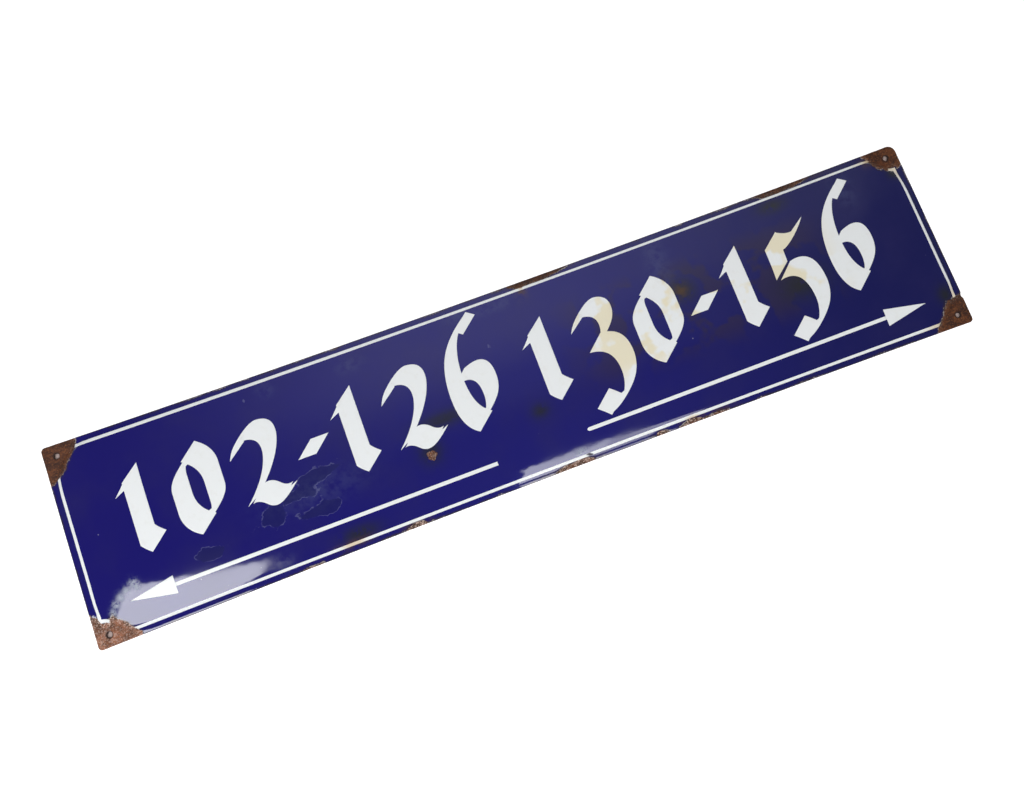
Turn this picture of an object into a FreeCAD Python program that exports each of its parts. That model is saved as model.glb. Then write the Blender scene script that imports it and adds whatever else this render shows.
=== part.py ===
import FreeCAD, Part
import math
import os
import Sketcher

# Street name sign: one sheet of steel, pressed into a shallow dish and enamelled.
#
# The plate lies face up, as it would on a bench. X runs along the text, Y towards the sign's
# top edge and Z out of the face. The origin is under the middle of the plate, on the plane
# of its lip and its four screw ears, which is the wall when the sign is up.
#
# The features follow the making. A flat blank has rounded corners, and long sides that the
# pressing has drawn in. The press raises a crowned panel out of it, which leaves a narrow
# flat lip along the sides and a flat ear in each corner. The same form, one sheet thickness
# lower, is the hollow behind the panel. Last come the four screw holes in the ears, and a
# small bite that rust has eaten out of the right end.

OUTPUT_FOLDER = "parts"

# Driving dimensions, in millimetres. Each is one cell of the spreadsheet.
DIMENSIONS = {
    "plate_length": 900.0,
    "plate_height": 199.0,
    "sheet_thickness": 1.8,
    # How far the middle of each long side stands in from a straight line between its corners.
    "side_draw_in": 4.0,
    "corner_radius": 4.0,
    # The top right corner is rusted and knocked rounder than the others.
    "worn_corner_radius": 8.0,
    # The flat lip outside the panel, and the rolled rim that climbs from it.
    "lip_width": 1.5,
    "rim_width": 10.5,
    "rim_rise": 4.0,
    # Corner radius of the panel at the top of its rim, which leaves room for the ears.
    "panel_corner_radius": 44.0,
    # How much higher the panel's flat ridge is than the top of its rim, and the ridge's width.
    "panel_crown": 3.0,
    "ridge_width": 24.0,
    # The holes' centres, in from the ends and from the corners' height.
    "hole_diameter": 6.5,
    "hole_from_end": 13.0,
    "hole_from_side": 11.5,
    # Rust has eaten a small round bite out of the right end, this far above its lower corner.
    "bite_radius": 4.0,
    "bite_depth": 1.3,
    "bite_above_corner": 28.5,
}

# The panel is lofted through level contours. They stand at these shares of the way across
# the rim, and then at these shares of the way from the top of the rim to the ridge.
RIM_SHARES = (0.0, 0.35, 0.7, 1.0)
CROWN_SHARES = (0.4, 0.8, 1.0)
# Corner radius of the ridge, as a share of half its width.
RIDGE_ROUNDING = 0.9

# A sketch's names for the start, end and centre of what is drawn in it. Its own origin is the
# start of its horizontal axis, which it counts as item -1, and its vertical axis is item -2.
START, END, CENTRE = range(1, 4)
ORIGIN = (-1, START)


class Size:
    """A number together with the spreadsheet expression that gives it."""

    def __init__(self, value, text):
        self.value = value
        self.text = text

    def join(self, sign, other, value):
        text = other.text if isinstance(other, Size) else str(other)
        return Size(value, f"({self.text} {sign} {text})")

    def __add__(self, other):
        return self.join("+", other, self.value + number(other))

    def __sub__(self, other):
        return self.join("-", other, self.value - number(other))

    def __mul__(self, other):
        return self.join("*", other, self.value * number(other))

    def __truediv__(self, other):
        return self.join("/", other, self.value / number(other))


def number(size):
    """The plain number of a Size, or a plain number itself."""
    return size.value if isinstance(size, Size) else size


def size(name):
    """A driving dimension of the spreadsheet."""
    return Size(float(sheet.get(name)), f"sizes.{name}")


# The plane of the wall, which the lip and the ears lie on.
WALL = Size(0.0, "0")


def between(first, second, share):
    """A size at a share of the way from the first to the second."""
    return first + (second - first) * share


class Contour:
    """A level outline: straight ends, long sides bent inwards and four rounded corners.

    half_length and half_height reach to the sharp corners, and draw_in is how far the
    middle of a long side stands in from them. radii are those of the corners, anticlockwise
    from the lower left.
    """

    def __init__(self, half_length, half_height, draw_in, radii, height):
        self.half_length = half_length
        self.half_height = half_height
        self.draw_in = draw_in
        self.radii = radii
        self.height = height
        # A side is an arc through both sharp corners and its drawn-in middle.
        self.side_radius = (half_length * half_length + draw_in * draw_in) / (draw_in * 2)
        self.side_centre = self.side_radius + half_height - draw_in

    def corner(self, side_x, side_y, radius):
        """A corner arc's three points: on the end, in its middle and on the long side."""
        big_radius = self.side_radius.value
        big_centre = FreeCAD.Vector(0, side_y * self.side_centre.value, 0)
        x = self.half_length.value - radius
        y = self.side_centre.value - math.sqrt((big_radius + radius) ** 2 - x**2)
        centre = FreeCAD.Vector(side_x * x, side_y * y, 0)
        on_end = FreeCAD.Vector(side_x * self.half_length.value, side_y * y, 0)
        on_side = big_centre + (centre - big_centre) * (big_radius / (big_radius + radius))
        middle = centre + (on_end + on_side - centre * 2).normalize() * radius
        return on_end, middle, on_side

    def draw(self, sketch):
        """Draws the outline in a sketch and ties it to the spreadsheet."""
        lower_left, lower_right, upper_right, upper_left = (
            self.corner(side_x, side_y, radius.value)
            for (side_x, side_y), radius in zip(((-1, -1), (1, -1), (1, 1), (-1, 1)), self.radii)
        )
        middle = FreeCAD.Vector(0, self.half_height.value - self.draw_in.value, 0)
        pieces = [
            ("corner", -1, Part.Arc(*lower_left)),
            ("side", -1, Part.Arc(lower_left[-1], middle * -1, lower_right[-1])),
            ("corner", 1, Part.Arc(*reversed(lower_right))),
            ("end", 1, Part.LineSegment(lower_right[0], upper_right[0])),
            ("corner", 1, Part.Arc(*upper_right)),
            ("side", 1, Part.Arc(upper_right[-1], middle, upper_left[-1])),
            ("corner", -1, Part.Arc(*reversed(upper_left))),
            ("end", -1, Part.LineSegment(upper_left[0], lower_left[0])),
        ]
        items = [sketch.addGeometry(piece) for _, _, piece in pieces]
        # A sketch turns every arc anticlockwise, so each piece is joined by its nearest ends.
        for item, following in zip(items, items[1:] + items[:1]):
            place, next_place = nearest_ends(sketch, item, following)
            sketch.addConstraint(Sketcher.Constraint("Tangent", item, place, following, next_place))
        radii = iter(self.radii)
        for item, (kind, side, _) in zip(items, pieces):
            if kind == "corner":
                bind(sketch, "Radius", item, size=next(radii))
            elif kind == "side":
                sketch.addConstraint(Sketcher.Constraint("PointOnObject", item, CENTRE, -2))
                bind(sketch, "Radius", item, size=self.side_radius)
                bind_from_origin(sketch, "DistanceY", item, CENTRE, side, self.side_centre)
            else:
                sketch.addConstraint(Sketcher.Constraint("Vertical", item))
                bind_from_origin(sketch, "DistanceX", item, START, side, self.half_length)


def nearest_ends(sketch, first, second):
    """The end of one piece and the end of another that lie closest together."""

    def gap(pair):
        return sketch.getPoint(first, pair[0]).distanceToPoint(sketch.getPoint(second, pair[1]))

    return min(((place, other) for place in (START, END) for other in (START, END)), key=gap)


def bind(sketch, kind, *places, size):
    """Adds a measured constraint and ties it to the spreadsheet."""
    index = sketch.addConstraint(Sketcher.Constraint(kind, *places, size.value))
    sketch.setExpression(f"Constraints[{index}]", size.text)


def bind_from_origin(sketch, kind, item, place, side, size):
    """Ties a point's distance from the sketch's origin, on its negative or positive side."""
    ends = (item, place, *ORIGIN) if side < 0 else (*ORIGIN, item, place)
    bind(sketch, kind, *ends, size=size)


def new_sketch(body, name, height):
    """A sketch parallel to the body's XY plane, at a height above it."""
    sketch = body.newObject("Sketcher::SketchObject", name)
    plane = next(item for item in body.Origin.OriginFeatures if item.Role == "XY_Plane")
    sketch.AttachmentSupport = [(plane, "")]
    sketch.MapMode = "FlatFace"
    sketch.setExpression("AttachmentOffset.Base.z", height.text)
    return sketch


def blank_contour():
    """The edge of the plate."""
    sharp = size("corner_radius")
    worn = size("worn_corner_radius")
    radii = (sharp, sharp, worn, sharp)
    return Contour(
        size("plate_length") / 2,
        size("plate_height") / 2,
        size("side_draw_in"),
        radii,
        WALL,
    )


def rim_contour(share):
    """The panel at a share of the way across its rim, which climbs as a quarter of a wave."""
    inset = size("lip_width") + size("rim_width") * share
    radius = size("panel_corner_radius") + size("rim_width") * (1 - share)
    return Contour(
        size("plate_length") / 2 - inset,
        size("plate_height") / 2 - inset,
        size("side_draw_in"),
        (radius,) * 4,
        size("rim_rise") * math.sin(math.pi / 2 * share),
    )


def crown_contour(share):
    """The panel at a share of the way from the top of its rim to its flat ridge."""
    rim = rim_contour(1)
    half_ridge = size("ridge_width") / 2
    inset = (rim.half_height - half_ridge) * share
    radius = between(rim.radii[0], half_ridge * RIDGE_ROUNDING, share)
    half_height = rim.half_height - inset
    return Contour(
        rim.half_length - inset,
        half_height,
        rim.draw_in * half_height / rim.half_height,
        (radius,) * 4,
        rim.height + size("panel_crown") * (1 - (1 - share) ** 2),
    )


def loft(body, kind, name, base):
    """A loft through the panel's contours, standing at a base height."""
    contours = [rim_contour(share) for share in RIM_SHARES]
    contours += [crown_contour(share) for share in CROWN_SHARES]
    sketches = []
    for count, contour in enumerate(contours, start=1):
        sketch = new_sketch(body, f"{name}_contour_{count}", base + contour.height)
        contour.draw(sketch)
        sketches.append(sketch)
    feature = body.newObject(kind, name)
    feature.Profile = sketches[0]
    feature.Sections = sketches[1:]
    doc.recompute()


def draw_circle(sketch, radius, side_x, reach_x, side_y, reach_y):
    """A circle at a distance from the sketch's origin, on the given sides of it."""
    centre = FreeCAD.Vector(side_x * reach_x.value, side_y * reach_y.value, 0)
    circle = sketch.addGeometry(Part.Circle(centre, FreeCAD.Vector(0, 0, 1), radius.value))
    bind(sketch, "Radius", circle, size=radius)
    bind_from_origin(sketch, "DistanceX", circle, CENTRE, side_x, reach_x)
    bind_from_origin(sketch, "DistanceY", circle, CENTRE, side_y, reach_y)


def cut_through(body, name, sketch):
    """Cuts a sketch's circles right through the plate."""
    pocket = body.newObject("PartDesign::Pocket", name)
    pocket.Profile = sketch
    pocket.Type = "ThroughAll"
    pocket.Midplane = True
    doc.recompute()


def make_sign_plate():
    """The sign: blank, pressed panel, hollow, holes and the bite of rust."""
    body = doc.addObject("PartDesign::Body", "sign_plate")
    body.Label = "sign_plate"
    outline = blank_contour()
    blank = new_sketch(body, "blank_outline", outline.height)
    outline.draw(blank)
    pad = body.newObject("PartDesign::Pad", "blank")
    pad.Profile = blank
    pad.setExpression("Length", size("sheet_thickness").text)
    doc.recompute()
    loft(body, "PartDesign::AdditiveLoft", "panel", size("sheet_thickness"))
    loft(body, "PartDesign::SubtractiveLoft", "hollow", WALL)

    half_length = size("plate_length") / 2
    half_height = size("plate_height") / 2
    holes = new_sketch(body, "hole_circles", WALL)
    reach_x = half_length - size("hole_from_end")
    reach_y = half_height - size("hole_from_side")
    for side_x in (-1, 1):
        for side_y in (-1, 1):
            draw_circle(holes, size("hole_diameter") / 2, side_x, reach_x, side_y, reach_y)
    cut_through(body, "screw_holes", holes)

    bite = new_sketch(body, "bite_circle", WALL)
    reach_x = half_length + size("bite_radius") - size("bite_depth")
    reach_y = half_height - size("bite_above_corner")
    draw_circle(bite, size("bite_radius"), 1, reach_x, -1, reach_y)
    cut_through(body, "rust_bite", bite)
    return body


def check(nodes):
    """Stops on any failed object or unsound shape."""
    for item in doc.Objects:
        failed = {"Invalid", "Error"} & set(item.State)
        if failed:
            raise RuntimeError(f"{item.Name}: {', '.join(sorted(failed))}")
    for node in nodes:
        if node.Shape.isNull() or not node.Shape.isValid() or len(node.Shape.Solids) != 1:
            raise RuntimeError(f"{node.Label}: not one valid solid")


doc = FreeCAD.newDocument("street_name_sign")
sheet = doc.addObject("Spreadsheet::Sheet", "sizes")
for row, (name, value) in enumerate(DIMENSIONS.items(), start=1):
    sheet.set(f"A{row}", name)
    sheet.set(f"B{row}", str(value))
    sheet.setAlias(f"B{row}", name)
doc.recompute()

nodes = [make_sign_plate()]
doc.recompute()
check(nodes)
os.makedirs(OUTPUT_FOLDER, exist_ok=True)
for node in nodes:
    node.Shape.exportStep(os.path.join(OUTPUT_FOLDER, f"{node.Label}.step"))
    box = node.Shape.BoundBox
    print(
        f"{node.Label}: {box.XLength:.1f} x {box.YLength:.1f} x {box.ZLength:.1f} mm,"
        f" {node.Shape.Volume / 1000:.1f} cm3, {len(node.Shape.Faces)} faces"
    )
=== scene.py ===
import bpy
import numpy as np
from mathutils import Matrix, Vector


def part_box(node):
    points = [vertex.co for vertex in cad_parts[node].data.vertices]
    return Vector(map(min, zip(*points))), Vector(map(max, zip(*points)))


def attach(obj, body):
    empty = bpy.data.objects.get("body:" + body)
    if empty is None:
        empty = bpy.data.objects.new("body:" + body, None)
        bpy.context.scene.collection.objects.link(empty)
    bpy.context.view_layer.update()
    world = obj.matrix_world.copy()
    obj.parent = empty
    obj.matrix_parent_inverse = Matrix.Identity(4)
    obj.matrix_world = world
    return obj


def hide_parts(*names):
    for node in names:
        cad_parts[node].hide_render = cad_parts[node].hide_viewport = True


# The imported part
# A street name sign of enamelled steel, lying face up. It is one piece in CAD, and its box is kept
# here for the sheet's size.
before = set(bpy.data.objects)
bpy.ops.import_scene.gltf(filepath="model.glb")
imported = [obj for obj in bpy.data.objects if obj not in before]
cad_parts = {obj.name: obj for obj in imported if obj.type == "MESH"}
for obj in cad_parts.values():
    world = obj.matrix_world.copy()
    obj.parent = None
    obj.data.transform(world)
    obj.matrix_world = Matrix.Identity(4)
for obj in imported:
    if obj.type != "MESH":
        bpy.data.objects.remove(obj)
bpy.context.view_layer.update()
MM = 0.001

# Steel sheet
# One blank of deep-drawing steel, pressed into a crowned panel with a rolled rim and flat ears
# for the screws. It shows only where the enamel has flaked off it, and there it has rusted.
_, plate_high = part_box("sign_plate")
# The long sides bend out towards the ends, where the round corners cut this much off their height.
CUT_BY_CORNERS = 0.07 * MM
HALF_LENGTH = plate_high.x
HALF_HEIGHT = plate_high.y + CUT_BY_CORNERS
SHEET = 1.8 * MM
SIDE_DRAW_IN = 4 * MM
LIP_WIDTH = 2.4 * MM
LIP_WIDTH_MIDDLE = 1 * MM
RIM_WIDTH = 10 * MM
RIM_RISE = 4 * MM
RIM_START_ENDS = 1.1
RIM_START_SIDES = 1.6
RIM_FILLET = 0.05
EAR_RIM_LESS = 0.38
EAR_RADIUS = 56 * MM
EAR_SPAN = (0.4 * EAR_RADIUS, 0.8 * EAR_RADIUS)
EAR_BEARING_FROM = (32, 50)
EAR_BEARING_TO = (90, 62)
SIDE_BEARING = (50, 90)
LEAST_ALONG = 0.01 * MM
CROWN_RISE = 3 * MM
CROWN_REACH = 75.5 * MM
CORNER_RADIUS = 4 * MM
WORN_CORNER_RADIUS = 8 * MM
BITE_RADIUS = 4 * MM
BITE_CENTRE = (452.7 * MM, -71 * MM)
BITE_REACH = 12 * MM
HOLE_RADIUS = 3.25 * MM
HOLES = [(side * 437 * MM, level * 88 * MM) for side in (-1, 1) for level in (-1, 1)]
HOLE_BLOCK = 7 * MM
HOLE_RINGS = 6
CRUST, CRUST_RAGGED, CRUST_CELL = 1 * MM, 0.7 * MM, 3.7 * MM
ROLL_STEPS = 8
STEEL_HALF = 0.72 * MM
SCALE_HALF = 0.8 * MM
LUMPY, LUMPY_CELL = 0.07 * MM, 3.1 * MM
GRITTY, GRITTY_CELL = 0.05 * MM, 1.3 * MM
SCALE_FROM = (-2 * MM, 1 * MM)

# Where the enamel has flaked off, as outlines in millimetres: the four ears, then the long edges.
FLAKED = [
    [(-417, 110), (-417, 98), (-418, 91), (-424, 81), (-429, 74), (-439, 66), (-447, 62), (-460, 61),
     (-460, 110)],
    [(-460, -67), (-450, -66), (-444, -71), (-441, -75.5), (-434, -77.5), (-431.5, -74), (-427, -73),
     (-419, -81), (-411, -91), (-408, -95), (-408, -110), (-460, -110)],
    [(412, 110), (412, 99), (418, 91), (418, 85), (424, 78), (432, 74), (435, 76.5), (442, 77),
     (444, 74.5), (448, 77), (460, 78), (460, 110)],
    [(460, -66), (450, -67), (445, -70), (438, -71), (430, -72), (424, -77), (421, -84), (416, -88.5),
     (413, -93), (411, -98), (411, -110), (460, -110)],
    [(1, -98.5), (4, -94.5), (9, -92), (17, -91.3), (30, -91), (35, -90.3), (39, -91.5), (43, -94),
     (45, -98.5)],
    [(107, -98), (110, -93), (116, -92), (121, -94), (124, -98)],
    [(130, -98), (132, -94), (140, -92), (147, -91.3), (153, -92.5), (158, -95), (164, -94.5),
     (173, -93.8), (183, -95.5), (188, -99)],
    [(-150, -98), (-149, -95.5), (-144, -92.5), (-137, -91.2), (-131, -91.8), (-128, -94.5), (-128, -98)],
    [(-252, -99), (-250, -96), (-240, -94.8), (-232, -95.6), (-229, -99)],
    [(20, 98), (25, 93), (31, 89.2), (36, 88), (41, 89.8), (52, 89.4), (62, 90), (72, 92), (86, 94.5),
     (92, 98)],
    [(284, 101), (290, 95.5), (299, 92.2), (312, 92.6), (322, 91.4), (332, 92), (341, 94.6), (352, 96.6),
     (364, 101)],
]


def half_height(x):
    """Half the plate's height at x: its long sides bend inwards to the middle along a parabola."""
    return HALF_HEIGHT - SIDE_DRAW_IN * (1 - (x / HALF_LENGTH) ** 2)


def way_in(x, y):
    """Distance in from the plate's edge, with level lines that round the corners at the ear radius:
    that radius, less the distance to the rectangle that the corner centres make."""
    along = np.abs(x) - (HALF_LENGTH - EAR_RADIUS)
    across = np.abs(y) - (half_height(x) - EAR_RADIUS)
    outside = np.hypot(np.maximum(along, 0), np.maximum(across, 0))
    return EAR_RADIUS - outside - np.minimum(np.maximum(along, across), 0)


def smooth_step(value, start, end):
    """0 up to start, 1 from end on, and three squares less two cubes of the share in between."""
    share = np.clip((value - start) / (end - start), 0, 1)
    return share * share * (3 - 2 * share)


def mid_level(x, y):
    """Height of the sheet's middle over the wall. The rim is a slope plus a cubic that ends level,
    rounded into the flat lip, and the slope goes on at the same pitch into the crown's parabola.
    The cubic starts steeper at the long sides than at the ends. The lip is narrower in the middle,
    and the rim round the ears, most of all between the corner's diagonal and the long side. Bearings
    are in degrees round an ear's centre, 0 towards the end and 90 towards the long side."""
    along = np.clip(np.abs(x) - (HALF_LENGTH - EAR_RADIUS), LEAST_ALONG, None)
    across = np.clip(np.abs(y) - (half_height(x) - EAR_RADIUS), 0, None)
    bearing = np.degrees(np.arctan2(across, along))
    narrowed = smooth_step(bearing, *EAR_BEARING_FROM) * smooth_step(bearing, *EAR_BEARING_TO)
    narrowed = narrowed * smooth_step(np.hypot(along, across), *EAR_SPAN)
    rim_width = RIM_WIDTH * (1 - EAR_RIM_LESS * narrowed)
    lip_width = LIP_WIDTH_MIDDLE + (LIP_WIDTH - LIP_WIDTH_MIDDLE) * (x / HALF_LENGTH) ** 2
    crown_reach = CROWN_REACH + RIM_WIDTH - rim_width
    rim = (way_in(x, y) - lip_width) / rim_width
    rim = np.clip((rim + np.hypot(rim, RIM_FILLET)) / 2, 0, 1)
    crown = np.clip((way_in(x, y) - lip_width - rim_width) / crown_reach, 0, 1)
    slope = 2 * CROWN_RISE * rim_width / crown_reach
    start = RIM_START_ENDS + (RIM_START_SIDES - RIM_START_ENDS) * smooth_step(bearing, *SIDE_BEARING)
    bend = start * rim + (3 - 2 * start) * rim**2 + (start - 2) * rim**3
    rise = slope * rim + (RIM_RISE - slope) * bend
    return SHEET / 2 + rise + CROWN_RISE * (1 - (1 - crown) ** 2)


CELLS_TO_REPEAT = 61


def mottle(x, y, cell, seed):
    """Smooth noise from -1 to 1: random numbers at the corners of square cells, with a smooth step
    from each to the next in both directions."""
    lattice = np.random.default_rng(seed).uniform(-1, 1, (CELLS_TO_REPEAT, CELLS_TO_REPEAT))
    column, row = np.floor(x / cell).astype(int), np.floor(y / cell).astype(int)
    right, up = smooth_step(x / cell - column, 0, 1), smooth_step(y / cell - row, 0, 1)
    near, far = column % CELLS_TO_REPEAT, (column + 1) % CELLS_TO_REPEAT
    below, above = row % CELLS_TO_REPEAT, (row + 1) % CELLS_TO_REPEAT
    low = lattice[near, below] * (1 - right) + lattice[far, below] * right
    high = lattice[near, above] * (1 - right) + lattice[far, above] * right
    return low * (1 - up) + high * up


def depth_in_outline(x, y, outline):
    """Distance from each point to a closed outline of straight lines, positive inside it: the
    nearest line's distance, with the sign from how many lines a ray to the right crosses."""
    start = np.array(outline, float) * MM
    end = np.roll(start, -1, 0)
    (start_x, start_y), (run_x, run_y) = start.T, (end - start).T
    from_x, from_y = x[..., None] - start_x, y[..., None] - start_y
    share = np.clip((from_x * run_x + from_y * run_y) / (run_x**2 + run_y**2), 0, 1)
    away = np.hypot(from_x - share * run_x, from_y - share * run_y).min(-1)
    level_with = (start_y > y[..., None]) != (end[:, 1] > y[..., None])
    rise = np.where(run_y == 0, 1, run_y)
    crossed = level_with & (from_x < from_y / rise * run_x)
    return np.where(crossed.sum(-1) % 2 == 1, away, -away)


def from_edge(x, y):
    """Distance in from the nearest of the two ends and the two long sides."""
    return np.minimum(HALF_LENGTH - np.abs(x), half_height(x) - np.abs(y))


def in_flake(x, y):
    """How deep a point lies in the nearest flaked outline, negative outside them all."""
    return np.max([depth_in_outline(x, y, outline) for outline in FLAKED], axis=0)


# How far noise moves the enamel's broken edge, each with the size of the noise's cells: once for the
# worn outer edge, which is held back a little on the whole, and in two sizes for the flakes.
WORN, WORN_CELL, LESS_WORN = 1.5 * MM, 13 * MM, 0.3 * MM
RAGGED, RAGGED_CELL = 0.9 * MM, 7 * MM
FRAYED, FRAYED_CELL = 0.7 * MM, 2.6 * MM
RAGGED_FROM = (-6 * MM, -1 * MM)


def bare(x, y):
    """How deep a point lies in flaked-off enamel, negative on sound enamel: the deepest of the
    outlines and of the worn outer edge, made ragged by two sizes of noise."""
    depth = in_flake(x, y)
    worn_edge = WORN * mottle(x, y, WORN_CELL, 3) - LESS_WORN - from_edge(x, y)
    ragged = RAGGED * mottle(x, y, RAGGED_CELL, 5) + FRAYED * mottle(x, y, FRAYED_CELL, 6)
    return np.maximum(depth + ragged * smooth_step(depth, *RAGGED_FROM), worn_edge)


def steel_half(x, y):
    """Half the steel's thickness, which swells with two sizes of rust scale where it is bare."""
    scale = LUMPY * mottle(x, y, LUMPY_CELL, 11) + GRITTY * mottle(x, y, GRITTY_CELL, 12)
    rusted = smooth_step(bare(x, y), *SCALE_FROM)
    return STEEL_HALF + rusted * (SCALE_HALF - STEEL_HALF + scale)


# Grid lines of the sheet, in millimetres from its middle. Along it they are close together over the
# ears, and across it they close up from the panel to its slope and on to the rim.
EARS_BEGIN = 398
along_panel = np.arange(0, EARS_BEGIN, 2.2)
along_ears = np.linspace(EARS_BEGIN, (HALF_LENGTH - SHEET / 2) / MM, 53)
from_middle = np.concatenate([along_panel, along_ears]) * MM
columns = np.concatenate([-from_middle[:0:-1], from_middle])
up_panel, up_slope, up_rim = np.linspace(0, 56, 12), np.linspace(57.6, 86, 18), np.linspace(86.9, 98.6, 17)
up = np.concatenate([up_panel, up_slope, up_rim])
rows = np.concatenate([-up[:0:-1], up]) / up[-1]


def plan_of_sheet():
    """Plan of the sheet's grid, half a thickness inside its outline: straight columns, rows shared
    out over the height, each corner square pressed onto a quarter circle, and the bite pushed in."""
    x, share = np.meshgrid(columns, rows, indexing="ij")
    top = half_height(x) - SHEET / 2
    y = share * top
    radius = np.where((x > 0) & (y > 0), WORN_CORNER_RADIUS, CORNER_RADIUS) - SHEET / 2
    end = HALF_LENGTH - SHEET / 2
    along = np.clip((np.abs(x) - end + radius) / radius, 0, 1)
    across = np.clip((np.abs(y) - top + radius) / radius, 0, 1)
    in_corner = (along > 0) & (across > 0)
    round_x = end - radius + radius * along * np.sqrt(1 - across**2 / 2)
    round_y = top - radius + radius * across * np.sqrt(1 - along**2 / 2)
    x, y = np.where(in_corner, np.sign(x) * round_x, x), np.where(in_corner, np.sign(y) * round_y, y)
    half_chord = np.sqrt(np.maximum(BITE_RADIUS**2 - (y - BITE_CENTRE[1]) ** 2, 0))
    bite = np.maximum(half_chord - BITE_CENTRE[0] + HALF_LENGTH, 0)
    return x - bite * smooth_step(x, end - BITE_REACH, end), y


def around(grid):
    """The outer border of a grid, once round, counterclockwise seen from the front."""
    return np.concatenate([grid[:, 0], grid[-1, 1:], grid[-2::-1, -1], grid[0, -2:0:-1]])


def quads(rings, facing=1):
    """Four-cornered faces between each ring of point numbers and the next, closed round."""
    following = np.roll(rings, -1, axis=1)
    faces = np.stack([rings[:-1], rings[1:], following[1:], following[:-1]], -1).reshape(-1, 4)
    return faces[:, ::facing]


def cells(grid, facing=1):
    """The four-cornered faces of an open grid of point numbers."""
    faces = np.stack([grid[:-1, :-1], grid[1:, :-1], grid[1:, 1:], grid[:-1, 1:]], -1)
    return faces.reshape(-1, 4)[:, ::facing]


def pressed_sheet(half_thickness):
    """Points and faces of a closed sheet. Front and back are the plan's grid, the half thickness
    above and below the sheet's middle. The outline and the holes are rolled over by half circles
    of that radius. Each hole sits in a block of the grid, filled by rings that run from its border
    to the hole's circle, which a ragged crust of rust narrows."""
    points, faces = [], []

    def keep(x, y, z):
        """Stores points and returns their numbers."""
        first = sum(len(known) for known in points)
        points.append(np.column_stack([x.ravel(), y.ravel(), z.ravel()]))
        return first + np.arange(x.size).reshape(x.shape)

    def roll(x, y, out_x, out_y, front, back, facing):
        """Joins a front border to a back one by a half circle pointing the given way."""
        radius = half_thickness(x, y)
        turn = np.linspace(0, np.pi, ROLL_STEPS)[1:-1, None]
        bulge = radius * np.sin(turn)
        ring = keep(x + out_x * bulge, y + out_y * bulge, mid_level(x, y) + radius * np.cos(turn))
        faces.append(quads(np.vstack([front, ring, back]), facing))

    x, y = plan_of_sheet()
    grids = {side: keep(x, y, mid_level(x, y) + side * half_thickness(x, y)) for side in (1, -1)}
    open_cells = np.ones((len(columns) - 1, len(rows) - 1), bool)
    for centre_x, centre_y in HOLES:
        left, right = (np.abs(columns - centre_x - reach).argmin() for reach in (-HOLE_BLOCK, HOLE_BLOCK))
        level = y[(left + right) // 2]
        low, high = (np.abs(level - centre_y - reach).argmin() for reach in (-HOLE_BLOCK, HOLE_BLOCK))
        open_cells[left:right, low:high] = False
        block = np.s_[left : right + 1, low : high + 1]
        block_x, block_y = around(x[block]), around(y[block])
        bearing = np.arctan2(block_y - centre_y, block_x - centre_x)
        out_x, out_y = np.cos(bearing), np.sin(bearing)
        wall_x, wall_y = centre_x + HOLE_RADIUS * out_x, centre_y + HOLE_RADIUS * out_y
        crust = CRUST + CRUST_RAGGED * mottle(wall_x, wall_y, CRUST_CELL, 31)
        radius = HOLE_RADIUS + SHEET / 2 - crust
        circle_x, circle_y = centre_x + radius * out_x, centre_y + radius * out_y
        share = np.linspace(0, 1, HOLE_RINGS)[1:, None]
        ring_x = block_x * (1 - share) + circle_x * share
        ring_y = block_y * (1 - share) + circle_y * share
        rings = {}
        for side in (1, -1):
            height = mid_level(ring_x, ring_y) + side * half_thickness(ring_x, ring_y)
            inner = keep(ring_x, ring_y, height)
            rings[side] = np.vstack([around(grids[side][block]), inner])
            faces.append(quads(rings[side], -side))
        roll(circle_x, circle_y, -out_x, -out_y, rings[1][-1], rings[-1][-1], -1)
    for side in (1, -1):
        faces.append(cells(grids[side], side)[open_cells.ravel()])
    edge_x, edge_y = around(x), around(y)
    run_x, run_y = (np.roll(edge, -1) - np.roll(edge, 1) for edge in (edge_x, edge_y))
    length = np.hypot(run_x, run_y)
    roll(edge_x, edge_y, run_y / length, -run_x / length, around(grids[1]), around(grids[-1]), 1)
    points, faces = np.vstack(points), np.vstack(faces)
    used, numbers = np.unique(faces, return_inverse=True)
    return points[used], numbers.reshape(-1, 4)


def new_piece(name, points, faces, slot, *materials):
    """Makes a smooth mesh object of the points and faces, and lets it ride on the sign."""
    mesh = bpy.data.meshes.new(name)
    mesh.from_pydata(points.tolist(), [], faces.tolist())
    mesh.polygons.foreach_set("use_smooth", np.ones(len(faces), bool))
    for material in materials:
        mesh.materials.append(material)
    piece = bpy.data.objects.new(name, mesh)
    bpy.context.scene.collection.objects.link(piece)
    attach(piece, "root")
    return piece


def store(piece, name, values):
    """Keeps one number for each point of a piece, for its material to read."""
    attribute = piece.data.attributes.new(name, "FLOAT", "POINT")
    attribute.data.foreach_set("value", values.astype(np.float32))


def add_node(tree, kind, inputs=None, **settings):
    """Adds a node. Its inputs, by name or number, are values or the sockets to join to them."""
    made = tree.nodes.new(kind)
    for name, value in settings.items():
        setattr(made, name, value)
    for name, value in (inputs or {}).items():
        if isinstance(value, bpy.types.NodeSocket):
            tree.links.new(value, made.inputs[name])
        else:
            made.inputs[name].default_value = value
    return made


def place_on_piece(tree):
    """The point's place on the sign, in metres."""
    return add_node(tree, "ShaderNodeTexCoord").outputs["Object"]


def stored(tree, name):
    """The number kept for each point under that name."""
    return add_node(tree, "ShaderNodeAttribute", attribute_name=name).outputs["Fac"]


def noise(tree, size, detail=3.0, roughness=0.55):
    """Cloudy noise from 0 to 1 whose clouds are about that size in metres."""
    inputs = {"Vector": place_on_piece(tree), "Scale": 1 / size, "Detail": detail, "Roughness": roughness}
    return add_node(tree, "ShaderNodeTexNoise", inputs).outputs["Fac"]


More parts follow.
